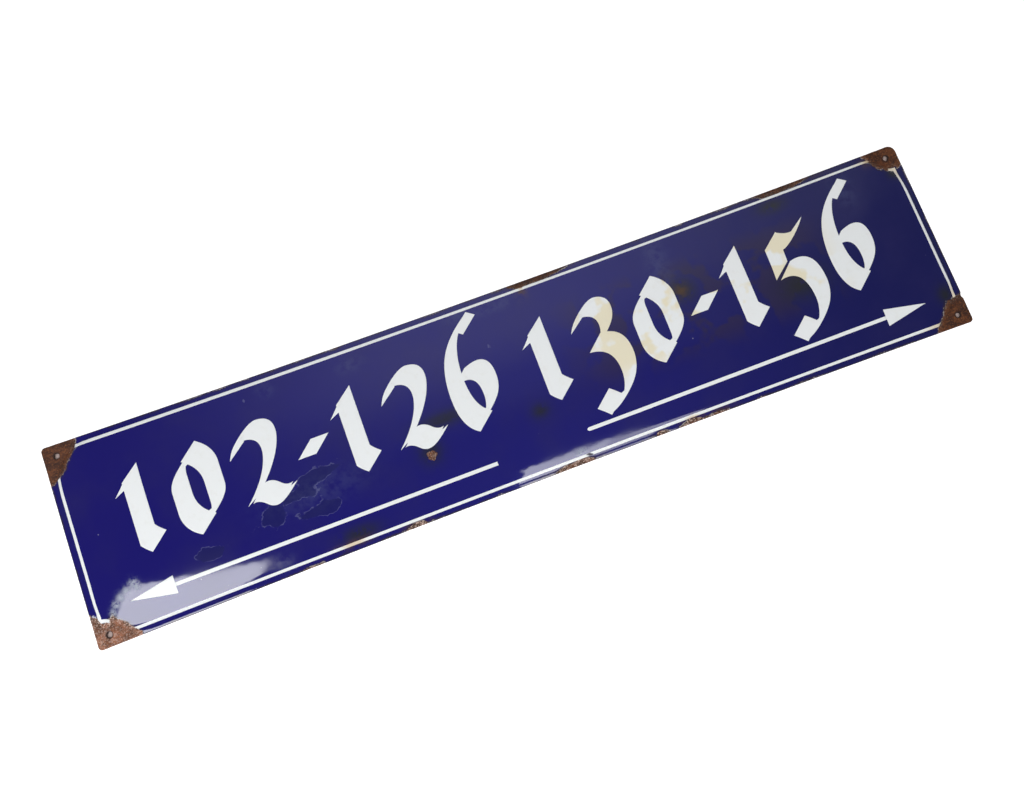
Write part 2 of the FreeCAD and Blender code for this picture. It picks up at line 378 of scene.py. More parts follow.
def sum_up(tree, operation, first, second=0.0, third=0.0):
    """One step of arithmetic."""
    inputs = {0: first, 1: second, 2: third}
    return add_node(tree, "ShaderNodeMath", inputs, operation=operation).outputs[0]


def ramp(tree, value, start, end, low=0.0, high=1.0):
    """The value carried smoothly from start..end to low..high, and held there beyond."""
    inputs = {"Value": value, "From Min": start, "From Max": end, "To Min": low, "To Max": high}
    return add_node(tree, "ShaderNodeMapRange", inputs, interpolation_type="SMOOTHSTEP").outputs[0]


def blend(tree, share, below, above):
    """The colour below, covered with the colour above by the given share."""
    inputs = {0: share, 6: below, 7: above}
    return add_node(tree, "ShaderNodeMix", inputs, data_type="RGBA").outputs[2]


def new_group(name, inputs, outputs):
    """An empty node group with number inputs and the named outputs, and its two end nodes."""
    group = bpy.data.node_groups.new(name, "ShaderNodeTree")
    for label in inputs:
        group.interface.new_socket(label, in_out="INPUT", socket_type="NodeSocketFloat")
    for label, kind in outputs.items():
        group.interface.new_socket(label, in_out="OUTPUT", socket_type=kind)
    return group, add_node(group, "NodeGroupInput"), add_node(group, "NodeGroupOutput")


def new_material(name, index, shine):
    """A material with its Principled shader. Its index of refraction and its share of the shine
    are even all over, so they are set on the shader itself. Half is the full shine of that index."""
    material = bpy.data.materials.new(name)
    material.use_nodes = True
    shader = material.node_tree.nodes["Principled BSDF"]
    shader.inputs["IOR"].default_value = index
    shader.inputs["Specular IOR Level"].default_value = shine
    return material, material.node_tree, shader


NUMBER, COLOUR = "NodeSocketFloat", "NodeSocketColor"

# Rust of old steel: dark brown scale with redder and orange bloom, lighter and more orange by a share
# that is partly fresh rust and partly painted light, darker by a share of painted shade, and pale
# crumbs of the enamel's ground coat that still cling to it.
BROWN_SCALE = (0.041, 0.0145, 0.0085, 1)
RED_SCALE = (0.105, 0.034, 0.0125, 1)
FRESH_AND_LIT_RUST = (0.33, 0.128, 0.068, 1)
ORANGE_BLOOM = (0.28, 0.11, 0.038, 1)
RUST_PIT = (0.02, 0.01, 0.008, 1)
DIRT_IN_GAPS = (0.045, 0.028, 0.015, 1)
PALE_CRUMB = (0.7, 0.52, 0.43, 1)
SHADED_RUST = (0.018, 0.009, 0.007, 1)
RUST_BUMP = 0.25 * MM
rust_outputs = {"Color": COLOUR, "Roughness": NUMBER, "Height": NUMBER}
rust, rust_in, rust_out = new_group("rust", ["Fresh_and_lit", "Crumbs", "Shade"], rust_outputs)
broad = noise(rust, 11 * MM, 3)
fine = noise(rust, 1.7 * MM, 6, 0.7)
grit = noise(rust, 1.3 * MM, 3)
lumps = noise(rust, 5 * MM, 2)
colour = blend(rust, ramp(rust, broad, 0.38, 0.62), BROWN_SCALE, RED_SCALE)
fresh_and_lit = sum_up(rust, "MULTIPLY", rust_in.outputs["Fresh_and_lit"], ramp(rust, broad, 0.35, 0.6, 0.35, 1))
colour = blend(rust, fresh_and_lit, colour, FRESH_AND_LIT_RUST)
colour = blend(rust, ramp(rust, fine, 0.5, 0.68, 0, 0.75), colour, ORANGE_BLOOM)
colour = blend(rust, ramp(rust, fine, 0.47, 0.37, 0, 0.85), colour, RUST_PIT)
gap = sum_up(rust, "MULTIPLY", ramp(rust, lumps, 0.52, 0.4, 0, 0.8), rust_in.outputs["Crumbs"])
colour = blend(rust, gap, colour, DIRT_IN_GAPS)
speck = sum_up(rust, "ADD", ramp(rust, grit, 0.5, 0.62), ramp(rust, lumps, 0.55, 0.68, 0, 0.5))
speck = sum_up(rust, "MULTIPLY", speck, rust_in.outputs["Crumbs"])
colour = blend(rust, speck, colour, PALE_CRUMB)
colour = blend(rust, rust_in.outputs["Shade"], colour, SHADED_RUST)
rust.links.new(colour, rust_out.inputs["Color"])
rust.links.new(ramp(rust, fine, 0.3, 0.7, 0.48, 0.78), rust_out.inputs["Roughness"])
rust.links.new(sum_up(rust, "ADD", fine, sum_up(rust, "MULTIPLY", speck, 0.6)), rust_out.inputs["Height"])

rusted_steel, tree, shader = new_material("rusted_steel", index=1.5, shine=0.28)
scale = add_node(tree, "ShaderNodeGroup", node_tree=rust)
for name, socket in (("fresh_and_lit", "Fresh_and_lit"), ("crumbs", "Crumbs"), ("shade", "Shade")):
    tree.links.new(stored(tree, name), scale.inputs[socket])
bump = add_node(tree, "ShaderNodeBump", {"Height": scale.outputs["Height"], "Distance": RUST_BUMP})
for output, socket in ((scale.outputs["Color"], "Base Color"), (scale.outputs["Roughness"], "Roughness")):
    tree.links.new(output, shader.inputs[socket])
tree.links.new(bump.outputs["Normal"], shader.inputs["Normal"])

steel_points, steel_faces = pressed_sheet(steel_half)
steel = new_piece("steel_sheet", steel_points, steel_faces, "rusted_steel", rusted_steel)

# The rust is lightest and most crumbly at the lower left ear, partly fresher rust and partly painted
# light of the soft box there. Crumbs cling to the lower edge and round every flake. Painted shade
# darkens the upper edge, and the holes' walls most of all.
x, y = steel_points[:, 0], steel_points[:, 1]
at_ears = smooth_step(np.abs(x), 390 * MM, 400 * MM)
lower_left = at_ears * (x < 0) * smooth_step(-y, 60 * MM, 65 * MM)
upper_left = at_ears * (x < 0) * smooth_step(y, 50 * MM, 55 * MM)
lower_edge = (1 - at_ears) * smooth_step(-y, 0, 10 * MM)
upper_edge = (1 - at_ears) * smooth_step(y, 0, 10 * MM)
near_rim_of_flake = smooth_step(bare(x, y), 5 * MM, 0)
crumbly = (0.15 + 0.5 * lower_left) * near_rim_of_flake + 0.3 * lower_left + 0.6 * lower_edge
to_hole = np.min([np.hypot(x - hole_x, y - hole_y) for hole_x, hole_y in HOLES], axis=0)
in_hole = smooth_step(to_hole, 4.1 * MM, 2.9 * MM)
store(steel, "crumbs", np.clip(crumbly, 0, 1))
# The lower left ear's lighter rust is partly fresh rust and partly painted light of the soft box.
store(steel, "fresh_and_lit", 0.8 * lower_left + 0.06 * upper_left)
# Painted shade: strongest in the holes' walls, weaker over the upper edge.
store(steel, "shade", 0.9 * in_hole + 0.3 * upper_edge)

# Blue enamel
# Cobalt blue glass fired over the whole sheet, on a dark ground coat that is left as it is on the
# back. It is missing where it has flaked off: there this coat dips below the rusted steel.
BLUE_LEFT = (0.0095, 0.007, 0.135, 1)
BLUE_MIDDLE = (0.0135, 0.0125, 0.15, 1)
BLUE_RIGHT = (0.0095, 0.0105, 0.085, 1)
BLUE_CLOUD = (0.024, 0.021, 0.1, 1)
LEFT_TO_MIDDLE = (-420 * MM, 50 * MM)
MIDDLE_TO_RIGHT = (20 * MM, 420 * MM)
YELLOW_HAZE = (0.034, 0.024, 0.04, 1)
PALE_SMEAR = (0.075, 0.09, 0.2, 1)
DARK_SPOT = (0.02, 0.022, 0.022, 1)
RUST_STAIN = (0.08, 0.043, 0.02, 1)
INSIDE_WATER_MARK = (0.012, 0.016, 0.05, 1)
WATER_LINE = (0.2, 0.21, 0.36, 1)
SCUFFED = (0.4, 0.46, 0.5, 1)
SMALL_PIT = (0.3, 0.3, 0.4, 1)
PAINTED_FLAKE_SHADOW = (0.03, 0.02, 0.026, 1)
BROKEN_EDGE = (0.3, 0.27, 0.26, 1)
RUBBED_EDGE = (0.035, 0.026, 0.03, 1)
GROUND_COAT = (0.012, 0.012, 0.016, 1)
GROUND_CLOUD = (0.05, 0.052, 0.06, 1)
GROUND_RUSTED = (0.07, 0.032, 0.018, 1)
GLASS_INDEX = 1.55
WAVE_BUMP, GROUND_WAVE_BUMP = 0.35 * MM, 0.5 * MM
SUNK_HALF = 0.42 * MM
SUNK_FROM = (-0.5 * MM, 0.6 * MM)

# Marks in the blue, each a place and two half widths in millimetres: rust stains, dark spots, pale
# smears, dried runs of water, and scuffs.
STAINS = [(-199, -89, 18, 3.6), (-137, -93, 13, 4), (24, -94, 24, 3), (146, -91, 12, 4), (172, -94, 16, 3),
          (52, 96, 36, 5), (325, 98, 36, 5), (183, 30, 6, 6), (34, 83, 5, 5), (35, 90, 4, 6),
          (419, 90, 11, 6)]
DARK_SPOTS = [(10, -33, 9, 7), (303, 80, 15, 7), (-102, -33, 12, 13), (-190, -82, 20, 8),
              (185, 30, 14, 13), (300, -5, 26, 16), (-80, -8, 30, 8), (431, -65, 8, 10), (435, 70, 7, 6)]
SMEARS = [(172, 66, 11, 34), (0, 80, 26, 6), (-30, 84, 16, 8), (-232, 78, 8, 7), (-148, 74, 12, 7),
          (-215, -30, 45, 14), (378, 72, 10, 18), (-266, -83, 10, 9)]
WATER_RUNS = [(-261, -37, 15, 14), (-236, -27, 20, 7), (-210, -16, 20, 6), (-216, -49, 26, 6),
              (-325, -51, 13, 7)]
SCUFFS = [(-426, -71, 3.2, 3.6), (-421, -65, 3.6, 3.6), (-415, -60, 4, 3.4), (-408, -56, 4, 3.4),
          (-401, -52, 4, 3.6), (-398, -56, 3, 3), (33, -84, 5, 3)]


def coat_half(x, y):
    """Half the thickness over the enamel: the full sheet's, falling below the steel's where bare."""
    return SHEET / 2 - (SHEET / 2 - SUNK_HALF) * smooth_step(bare(x, y), *SUNK_FROM)


def front_of_coat(x, y):
    """Height of the blue front over the wall."""
    return mid_level(x, y) + coat_half(x, y)


def soft_spots(x, y, places):
    """The strongest of several bell curves, one at each place with its own two half widths."""
    at_x, at_y, wide, tall = np.array(places, float).T * MM
    bells = np.exp(-(((x[:, None] - at_x) / wide) ** 2) - ((y[:, None] - at_y) / tall) ** 2)
    return bells.max(1)


# Waves of the fired glass: broad ones from the sheet under it, and fine ones like orange peel.
waves, _, waves_out = new_group("enamel_waves", [], {"Height": NUMBER})
broad = sum_up(waves, "MULTIPLY", noise(waves, 60 * MM, 2, 0.5), 0.5)
middle = sum_up(waves, "MULTIPLY", noise(waves, 14 * MM, 1), 0.1)
peel = sum_up(waves, "MULTIPLY", noise(waves, 2.6 * MM, 1), 0.012)
waves.links.new(sum_up(waves, "ADD", sum_up(waves, "ADD", broad, middle), peel), waves_out.inputs["Height"])


def ripple(tree, shader, depth):
    """Tilts a material's normal by the waves of the fired glass, for a height of one this deep."""
    height = add_node(tree, "ShaderNodeGroup", node_tree=waves).outputs["Height"]
    bump = add_node(tree, "ShaderNodeBump", {"Height": height, "Distance": depth})
    tree.links.new(bump.outputs["Normal"], shader.inputs["Normal"])


# Where water stood on the right half and yellowed the glass: clouds with a fairly sharp edge, which
# fade in over these spans from the left and the right, and from below and above.
YELLOWED_ALONG = [(40 * MM, 100 * MM), (360 * MM, 300 * MM)]
YELLOWED_UP = [(-45 * MM, -15 * MM), (70 * MM, 45 * MM)]
yellowed, _, yellowed_out = new_group("yellowed", [], {"Share": NUMBER})
where = add_node(yellowed, "ShaderNodeSeparateXYZ", {0: place_on_piece(yellowed)})
ends = [ramp(yellowed, where.outputs["X"], *span) for span in YELLOWED_ALONG]
levels = [ramp(yellowed, where.outputs["Y"], *span) for span in YELLOWED_UP]
stood = sum_up(yellowed, "MULTIPLY", *ends)
stood = sum_up(yellowed, "MULTIPLY", stood, sum_up(yellowed, "MULTIPLY", *levels))
clouds = ramp(yellowed, noise(yellowed, 32 * MM, 3, 0.45), 0.46, 0.53)
yellowed.links.new(sum_up(yellowed, "MULTIPLY", stood, clouds), yellowed_out.inputs["Share"])

blue_enamel, tree, shader = new_material("blue_enamel", index=GLASS_INDEX, shine=0.5)
along = add_node(tree, "ShaderNodeSeparateXYZ", {0: place_on_piece(tree)}).outputs["X"]
clouds = noise(tree, 70 * MM, 3)
cloth = noise(tree, 9 * MM, 4, 0.6)
colour = blend(tree, ramp(tree, along, *LEFT_TO_MIDDLE), BLUE_LEFT, BLUE_MIDDLE)
colour = blend(tree, ramp(tree, along, *MIDDLE_TO_RIGHT), colour, BLUE_RIGHT)
colour = blend(tree, ramp(tree, clouds, 0.4, 0.75, 0, 0.35), colour, BLUE_CLOUD)
haze = add_node(tree, "ShaderNodeGroup", node_tree=yellowed).outputs["Share"]
colour = blend(tree, sum_up(tree, "MULTIPLY", haze, 0.5), colour, YELLOW_HAZE)
smear = sum_up(tree, "MULTIPLY", stored(tree, "smears"), ramp(tree, cloth, 0.32, 0.62))
colour = blend(tree, sum_up(tree, "MULTIPLY", smear, 0.28), colour, PALE_SMEAR)
dark = sum_up(tree, "MULTIPLY", stored(tree, "dark_spots"), ramp(tree, cloth, 0.24, 0.46))
colour = blend(tree, sum_up(tree, "MULTIPLY", dark, 0.88), colour, DARK_SPOT)
stain = sum_up(tree, "MULTIPLY", stored(tree, "stains"), ramp(tree, cloth, 0.34, 0.56))
colour = blend(tree, sum_up(tree, "MULTIPLY", stain, 0.85), colour, RUST_STAIN)

# Dried runs of water are a little darker inside a thin, pale, wavy outline. Scuffs are pale and dull.
wavy = sum_up(tree, "MULTIPLY_ADD", noise(tree, 16 * MM, 4, 0.5), 1.5, -1.17)
wavy = sum_up(tree, "ADD", wavy, stored(tree, "water_runs"))
colour = blend(tree, ramp(tree, wavy, 0, 0.06, 0, 0.35), colour, INSIDE_WATER_MARK)
outline = ramp(tree, sum_up(tree, "ABSOLUTE", wavy), 0.05, 0.015)
outline = sum_up(tree, "MULTIPLY", outline, ramp(tree, noise(tree, 11 * MM, 4, 0.6), 0.42, 0.56))
colour = blend(tree, sum_up(tree, "MULTIPLY", outline, 0.27), colour, WATER_LINE)
scuff = sum_up(tree, "MULTIPLY", stored(tree, "scuffs"), ramp(tree, noise(tree, 3 * MM, 4, 0.65), 0.36, 0.52))
colour = blend(tree, sum_up(tree, "MULTIPLY", scuff, 0.6), colour, SCUFFED)

# Tiny pits: the nearest of scattered points, where its own random value is high.
dots = add_node(tree, "ShaderNodeTexVoronoi", {"Vector": place_on_piece(tree), "Scale": 1 / (11 * MM)})
chance = add_node(tree, "ShaderNodeSeparateColor", {0: dots.outputs["Color"]}).outputs[0]
rare = sum_up(tree, "SUBTRACT", 0.9, sum_up(tree, "MULTIPLY", stored(tree, "water_runs"), 0.5))
chosen = ramp(tree, sum_up(tree, "SUBTRACT", chance, rare), 0, 0.04)
pit = sum_up(tree, "MULTIPLY", ramp(tree, dots.outputs["Distance"], 0.08, 0.03), chosen)
colour = blend(tree, sum_up(tree, "MULTIPLY", pit, 0.6), colour, SMALL_PIT)

# Broken edge of the coat: the pale ground coat shows in a ragged line round each flake, and a band of
# painted shadow darkens the blue just outside it.
frayed = ramp(tree, noise(tree, 1.7 * MM, 3), 0.3, 0.7, -0.7 * MM, 0.7 * MM)
depth = sum_up(tree, "ADD", stored(tree, "bare"), frayed)
patchy = ramp(tree, noise(tree, 12 * MM, 2), 0.36, 0.56)
broken = sum_up(tree, "MULTIPLY", ramp(tree, depth, -1.1 * MM, -0.4 * MM), patchy)
shadowed = ramp(tree, depth, -3.2 * MM, -0.8 * MM, 0, 0.6)
colour = blend(tree, shadowed, colour, PAINTED_FLAKE_SHADOW)
colour = blend(tree, broken, colour, BROKEN_EDGE)
rubbed = sum_up(tree, "ADD", stored(tree, "from_edge"), ramp(tree, cloth, 0.3, 0.7, -1.4 * MM, 1.6 * MM))
colour = blend(tree, ramp(tree, rubbed, 1.0 * MM, 0.2 * MM, 0, 0.6), colour, RUBBED_EDGE)
tree.links.new(colour, shader.inputs["Base Color"])
dull = sum_up(tree, "MULTIPLY", smear, 0.1)
for mark, share in ((stain, 0.08), (broken, 0.3), (scuff, 0.3), (dark, 0.06)):
    dull = sum_up(tree, "MULTIPLY_ADD", mark, share, dull)
dull = sum_up(tree, "ADD", dull, ramp(tree, clouds, 0.3, 0.7, 0.03, 0.07))
tree.links.new(dull, shader.inputs["Roughness"])
ripple(tree, shader, WAVE_BUMP)

ground_coat, tree, shader = new_material("ground_coat", index=1.5, shine=0.5)
patchy = noise(tree, 30 * MM, 5, 0.65)
colour = blend(tree, ramp(tree, patchy, 0.4, 0.7), GROUND_COAT, GROUND_CLOUD)
colour = blend(tree, ramp(tree, stored(tree, "bare"), -7 * MM, 0, 0, 0.8), colour, GROUND_RUSTED)
tree.links.new(colour, shader.inputs["Base Color"])
tree.links.new(ramp(tree, patchy, 0.3, 0.7, 0.16, 0.5), shader.inputs["Roughness"])
ripple(tree, shader, GROUND_WAVE_BUMP)

coat_points, coat_faces = pressed_sheet(coat_half)
coat = new_piece("enamel_coat", coat_points, coat_faces, "blue_enamel", blue_enamel, ground_coat)
FACES_BACK = -0.3
normals = np.zeros(len(coat_faces) * 3)
coat.data.polygons.foreach_get("normal", normals)
coat.data.polygons.foreach_set("material_index", (normals[2::3] < FACES_BACK).astype(np.int32))
x, y = coat_points[:, 0], coat_points[:, 1]
store(coat, "bare", bare(x, y))
store(coat, "from_edge", from_edge(x, y))
marks = {"stains": STAINS, "dark_spots": DARK_SPOTS, "smears": SMEARS, "water_runs": WATER_RUNS}
for name, places in (marks | {"scuffs": SCUFFS}).items():
    store(coat, name, soft_spots(x, y, places))
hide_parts("sign_plate")

# White border line
# White enamel, brushed through a stencil and fired a second time, so it stands a tenth of a
# millimetre proud. The line keeps 8 mm off the edge and runs round each screw in a hollow quarter.
LAYER = 0.12 * MM
LAYER_EDGE = 0.5 * MM
LAYER_ROOT = 0.25 * MM
LINE_HALF = 1.65 * MM
LINE_INSET = 8 * MM
LOWER_LINE_OUT = 1.1 * MM
UPPER_LINE_THINNER = 0.2
LOWER_LINE_THINNER = 0.15
LINE_END = 440 * MM
EAR_TOP = 90 * MM
EAR_CURVE = 16 * MM
LOWER_EARS_WIDER = 0.003
LOWER_EARS_FROM = (40 * MM, 74 * MM)
LONG_RUNS_FROM = (EAR_TOP - 8 * MM, EAR_TOP - 2 * MM)
THINNER_ALONG = (-300 * MM, 100 * MM)
THINNER_FROM = (80 * MM, 86 * MM)
EAR_STEPS = 28
LINE_STEP = 0.9 * MM
LINE_ACROSS = np.array([-1, -0.94, -0.84, -0.67, -0.3, 0.3, 0.67, 0.84, 0.94, 1])

# A chip in the lower line, as an outline in millimetres, and how much of the layer's height it took.
LINE_CHIP = [(36, -87.6), (40, -87.2), (43.5, -89.4), (42, -90.6), (39, -90)]
CHIP_DEPTH = 0.7


def chipped(x, y):
    """1 in the chip and 0 outside it, with a smooth step across its outline."""
    return smooth_step(depth_in_outline(x, y, LINE_CHIP), -0.3 * MM, 0.3 * MM)


def rounded_rise(distance):
    """The layer's share of its full height at a distance in from its edge: a quarter circle."""
    return np.sqrt(1 - (1 - np.clip(distance / LAYER_EDGE, 0, 1)) ** 2)


def fired_layer(x, y, rise, ring=False, first=0, extra=0.0):
    """Points and faces of a closed layer on the blue: the plan's grid laid on the coat and lifted
    by its rise, and the same grid a little below the coat's face, joined all round. A ring's grid
    also closes on itself along its first direction. The points are numbered from first on. Extra
    is more height, which keeps strokes that cross each other from lying in one face."""
    along_x, along_y = (np.diff(line, axis=0)[:, :-1] for line in (x, y))
    across_x, across_y = (np.diff(line, axis=1)[:-1] for line in (x, y))
    if np.sum(along_x * across_y - along_y * across_x) < 0:
        x, y, rise = x[:, ::-1], y[:, ::-1], rise[:, ::-1]
    base = front_of_coat(x, y)
    tops = np.stack([x, y, base + (LAYER + extra) * rise], -1).reshape(-1, 3)
    roots = np.stack([x, y, base - LAYER_ROOT], -1).reshape(-1, 3)
    upper = np.arange(x.size).reshape(x.shape) + first
    lower = upper + x.size
    if ring:
        joined_up, joined_low = (np.vstack([grid, grid[:1]]) for grid in (upper, lower))
        sides = [quads(np.vstack([upper[:, 0], lower[:, 0]])), quads(np.vstack([lower[:, -1], upper[:, -1]]))]
        faces = [cells(joined_up), cells(joined_low, -1), *sides]
    else:
        faces = [cells(upper), cells(lower, -1), quads(np.vstack([around(upper), around(lower)]))]
    return np.vstack([tops, roots]), np.vstack(faces)


# White glass, which shines less than the blue. It is cream where water stood, brownish beside the
# flakes at the right end and over rust stains, and bare and dull in the chip.
WHITE = (0.84, 0.86, 0.85, 1)
CREAM = (0.81, 0.74, 0.53, 1)
GREY_SPECK = (0.7, 0.68, 0.6, 1)
WHITE_BESIDE_FLAKE = (0.74, 0.59, 0.36, 1)
WHITE_STAINED = (0.66, 0.44, 0.2, 1)
IN_CHIP = (0.05, 0.05, 0.08, 1)
white_enamel, tree, shader = new_material("white_enamel", index=GLASS_INDEX, shine=0.25)
patches = noise(tree, 34 * MM, 2, 0.5)
cream = add_node(tree, "ShaderNodeGroup", node_tree=yellowed).outputs["Share"]
colour = blend(tree, sum_up(tree, "MULTIPLY", cream, 0.9), WHITE, CREAM)
specks = ramp(tree, noise(tree, 6 * MM, 4), 0.52, 0.75, 0, 0.15)
colour = blend(tree, specks, colour, GREY_SPECK)
along = add_node(tree, "ShaderNodeSeparateXYZ", {0: place_on_piece(tree)}).outputs["X"]
beside_flake = ramp(tree, stored(tree, "in_flake"), -22 * MM, -1 * MM, 0, 0.65)
beside_flake = sum_up(tree, "MULTIPLY", beside_flake, ramp(tree, along, 0.35, 0.4))
colour = blend(tree, beside_flake, colour, WHITE_BESIDE_FLAKE)
on_stain = ramp(tree, stored(tree, "stains"), 0.45, 0.95, 0, 0.6)
colour = blend(tree, on_stain, colour, WHITE_STAINED)
colour = blend(tree, stored(tree, "chipped"), colour, IN_CHIP)
tree.links.new(colour, shader.inputs["Base Color"])
dull = ramp(tree, patches, 0.3, 0.7, 0.08, 0.18)
dull = sum_up(tree, "MULTIPLY_ADD", stored(tree, "chipped"), 0.5, dull)
tree.links.new(dull, shader.inputs["Roughness"])
ripple(tree, shader, WAVE_BUMP)


def white_piece(name, points, faces):
    """A piece of the white layer, with the stored numbers that its material reads."""
    piece = new_piece(name, points, faces, "white_enamel", white_enamel)
    store(piece, "in_flake", in_flake(points[:, 0], points[:, 1]))
    store(piece, "chipped", chipped(points[:, 0], points[:, 1]))
    store(piece, "stains", soft_spots(points[:, 0], points[:, 1], STAINS))


def border_line():
    """The line as a grid: a hollow quarter circle round each screw and a straight run to the next,
    for each of several widths across it. The quarters' ends meet the runs where both are at the
    same distance out. The long runs bend with the plate's sides and are thinned about their middle."""
    across = LINE_ACROSS * LINE_HALF
    radius = EAR_CURVE - across
    lean = np.arcsin(across / radius)
    turn = lean - np.linspace(0, 1, EAR_STEPS)[:, None] * (np.pi / 2 + 2 * lean)
    ear_x, ear_y = LINE_END + radius * np.sin(turn), EAR_TOP - radius * np.cos(turn)
    ears = [(ear_x, ear_y), (-ear_x[::-1], ear_y[::-1]), (-ear_x, -ear_y), (ear_x[::-1], -ear_y[::-1])]
    runs_x, runs_y = [], []
    for (x, y), (next_x, next_y) in zip(ears, ears[1:] + ears[:1]):
        steps = int(np.hypot(next_x[0] - x[-1], next_y[0] - y[-1]).max() / LINE_STEP)
        share = np.arange(1, steps)[:, None] / steps
        runs_x += [x, x[-1] * (1 - share) + next_x[0] * share]
        runs_y += [y, y[-1] * (1 - share) + next_y[0] * share]
    x, y = np.vstack(runs_x), np.vstack(runs_y)
    draw_in = half_height(x) - LINE_INSET - EAR_TOP
    draw_in = draw_in + np.where(y < 0, LOWER_LINE_OUT * (1 - (x / HALF_LENGTH) ** 2), 0)
    y = y + np.sign(y) * draw_in * smooth_step(np.abs(y), *LONG_RUNS_FROM)
    x = x * (1 + LOWER_EARS_WIDER * smooth_step(-y, *LOWER_EARS_FROM))
    middle = y.mean(axis=1, keepdims=True)
    upper = UPPER_LINE_THINNER * smooth_step(x, *THINNER_ALONG)
    thinner = np.where(middle > 0, upper, LOWER_LINE_THINNER)
    thinner = thinner * smooth_step(np.abs(middle), *THINNER_FROM)
    y = middle + (y - middle) * (1 - thinner)
    return x, y, rounded_rise(LINE_HALF - np.abs(across)) * (1 - CHIP_DEPTH * chipped(x, y))


x, y, rise = border_line()
white_piece("border_line", *fired_layer(x, y, rise, ring=True))

# Arrows
# Two arrows in the same white layer, one along the lower edge of each half. They point to the two
# ways along the street.
ARROW_LEVEL = -66 * MM
SHAFT_HALF = 1.8 * MM
SHAFT_START = 46 * MM
HEAD_START = 364.5 * MM
HEAD_HALF = 8.7 * MM
TIP = 408 * MM
BESIDE_HEAD = 0.02 * MM
LEAST_SHARE = 0.02

# Grid lines in millimetres along the shaft and along the head, and in shares of the half width
# across both. They lie close together where the layer rounds over at its edge.
SHAFT_LINES = np.concatenate([[0, 0.1, 0.3, 0.6, 1, 1.5, 2], np.arange(4, 318, 2.0)])
HEAD_LINES = np.concatenate([[0, 0.1, 0.3, 0.6, 1], np.arange(2, 42, 1.0), [42.4, 42.9, 43.3]])
ARROW_ACROSS = np.array([-1, -0.96, -0.88, -0.75, -0.4, 0, 0.4, 0.75, 0.88, 0.96, 1])


def arrow(blunt):
    """An arrow to the right as a grid: its half width along it is even up to the head, then falls
    in a straight line to the tip. Its start is cut square where it is blunt. Otherwise it is
    rounded: there the half width grows with the square root of the distance from the start."""
    shaft = np.append(SHAFT_LINES * MM + SHAFT_START, HEAD_START - BESIDE_HEAD)
    head = HEAD_LINES * MM + HEAD_START
    rounded = np.sqrt(np.clip((shaft - SHAFT_START) / SHAFT_HALF, LEAST_SHARE, 1))
    shaft_half = SHAFT_HALF * (np.ones(len(shaft)) if blunt else rounded)
    half = np.concatenate([shaft_half, HEAD_HALF * (TIP - head) / (TIP - HEAD_START)])
    along = np.concatenate([shaft, head])
    x = np.broadcast_to(along[:, None], (len(along), len(ARROW_ACROSS)))
    y = ARROW_LEVEL + half[:, None] * ARROW_ACROSS
    from_side = half[:, None] * (1 - np.abs(ARROW_ACROSS))
    from_end = np.minimum(along - SHAFT_START, TIP - along)[:, None]
    beside_shaft = np.abs(y - ARROW_LEVEL) > SHAFT_HALF
    from_end = np.where(beside_shaft, np.minimum(from_end, np.abs(x - HEAD_START)), from_end)
    return x, y, rounded_rise(np.minimum(from_side, from_end))


x, y, rise = arrow(blunt=False)
white_piece("right_arrow", *fired_layer(x, y, rise))
x, y, rise = arrow(blunt=True)
white_piece("left_arrow", *fired_layer(-x, y, rise))

# House numbers
# The numbers of the houses each way, drawn with a broad flat pen held at a slant and fired in the
# same white. Each figure is two to four strokes, and all of a group are one piece.
PEN_HALF = 11.6
PEN_THIN = 1.8
PEN_SLANT = np.radians(40)
FIGURE_BASE = -32.0
FIGURE_SCALE = 1.12
BEND_STEPS = 40
STROKE_STEP = 1.3
NEAR_END = np.array([0, 0.15, 0.4, 0.8])
FROM_START, FROM_END = 1.6, 1.2
PEN_ACROSS = np.array([-1, -0.985, -0.95, -0.88, -0.7, -0.45, -0.2, 0, 0.2, 0.45, 0.7, 0.88, 0.95, 0.985, 1])
STROKE_LIFT = 0.012 * MM

# Each stroke is a chain of bends: a point on it, the point that pulls the bend, the next point on
# it, and so on, from the figure's lower left corner.
FIGURES = {
    "0": (54, [[(25, 67), (7, 60), (7, 47), (7, 39), (7, 30), (7, 15), (21, 7)],
               [(21, 71), (35, 62), (35, 48), (35, 39), (35, 30), (35, 17), (17, 11)]]),
    "1": (40, [[(-2, 56), (4, 62), (10, 69)],
               [(10, 71), (10, 44), (10, 16), (13, 12), (18, 8)]]),
    "2": (57, [[(6, 56), (10, 68), (20, 70), (36, 70), (34, 54), (31, 36), (9, 14)],
               [(7, 12), (15, 21), (24, 13), (32, 4), (42, 14)]]),
    "3": (54, [[(6, 58), (11, 69), (20, 70), (34, 69), (32, 55), (30, 44), (18, 39)],
               [(15, 38), (38, 37), (36, 10), (33, -12), (12, -18)],
               [(4, -10), (8, -13), (14, -19)]]),
    "5": (55, [[(10, 70), (10, 55), (9, 41)],
               [(10, 69), (20, 63), (27, 66), (33, 69), (39, 77)],
               [(12, 40), (36, 46), (36, 13), (34, -11), (12, -18)],
               [(4, -10), (8, -13), (14, -19)]]),
    "6": (55, [[(33, 98), (7, 82), (7, 42), (7, 15), (21, 7)],
               [(12, 50), (35, 60), (35, 36), (35, 17), (17, 11)],
               [(29, 97), (32, 95), (36, 92)]]),
    "-": (38, [[(3, 38), (11, 38), (19, 38)]]),
}
GROUPS = {"numbers_left": ("102-126", -386.0), "numbers_right": ("130-156", 22.0)}


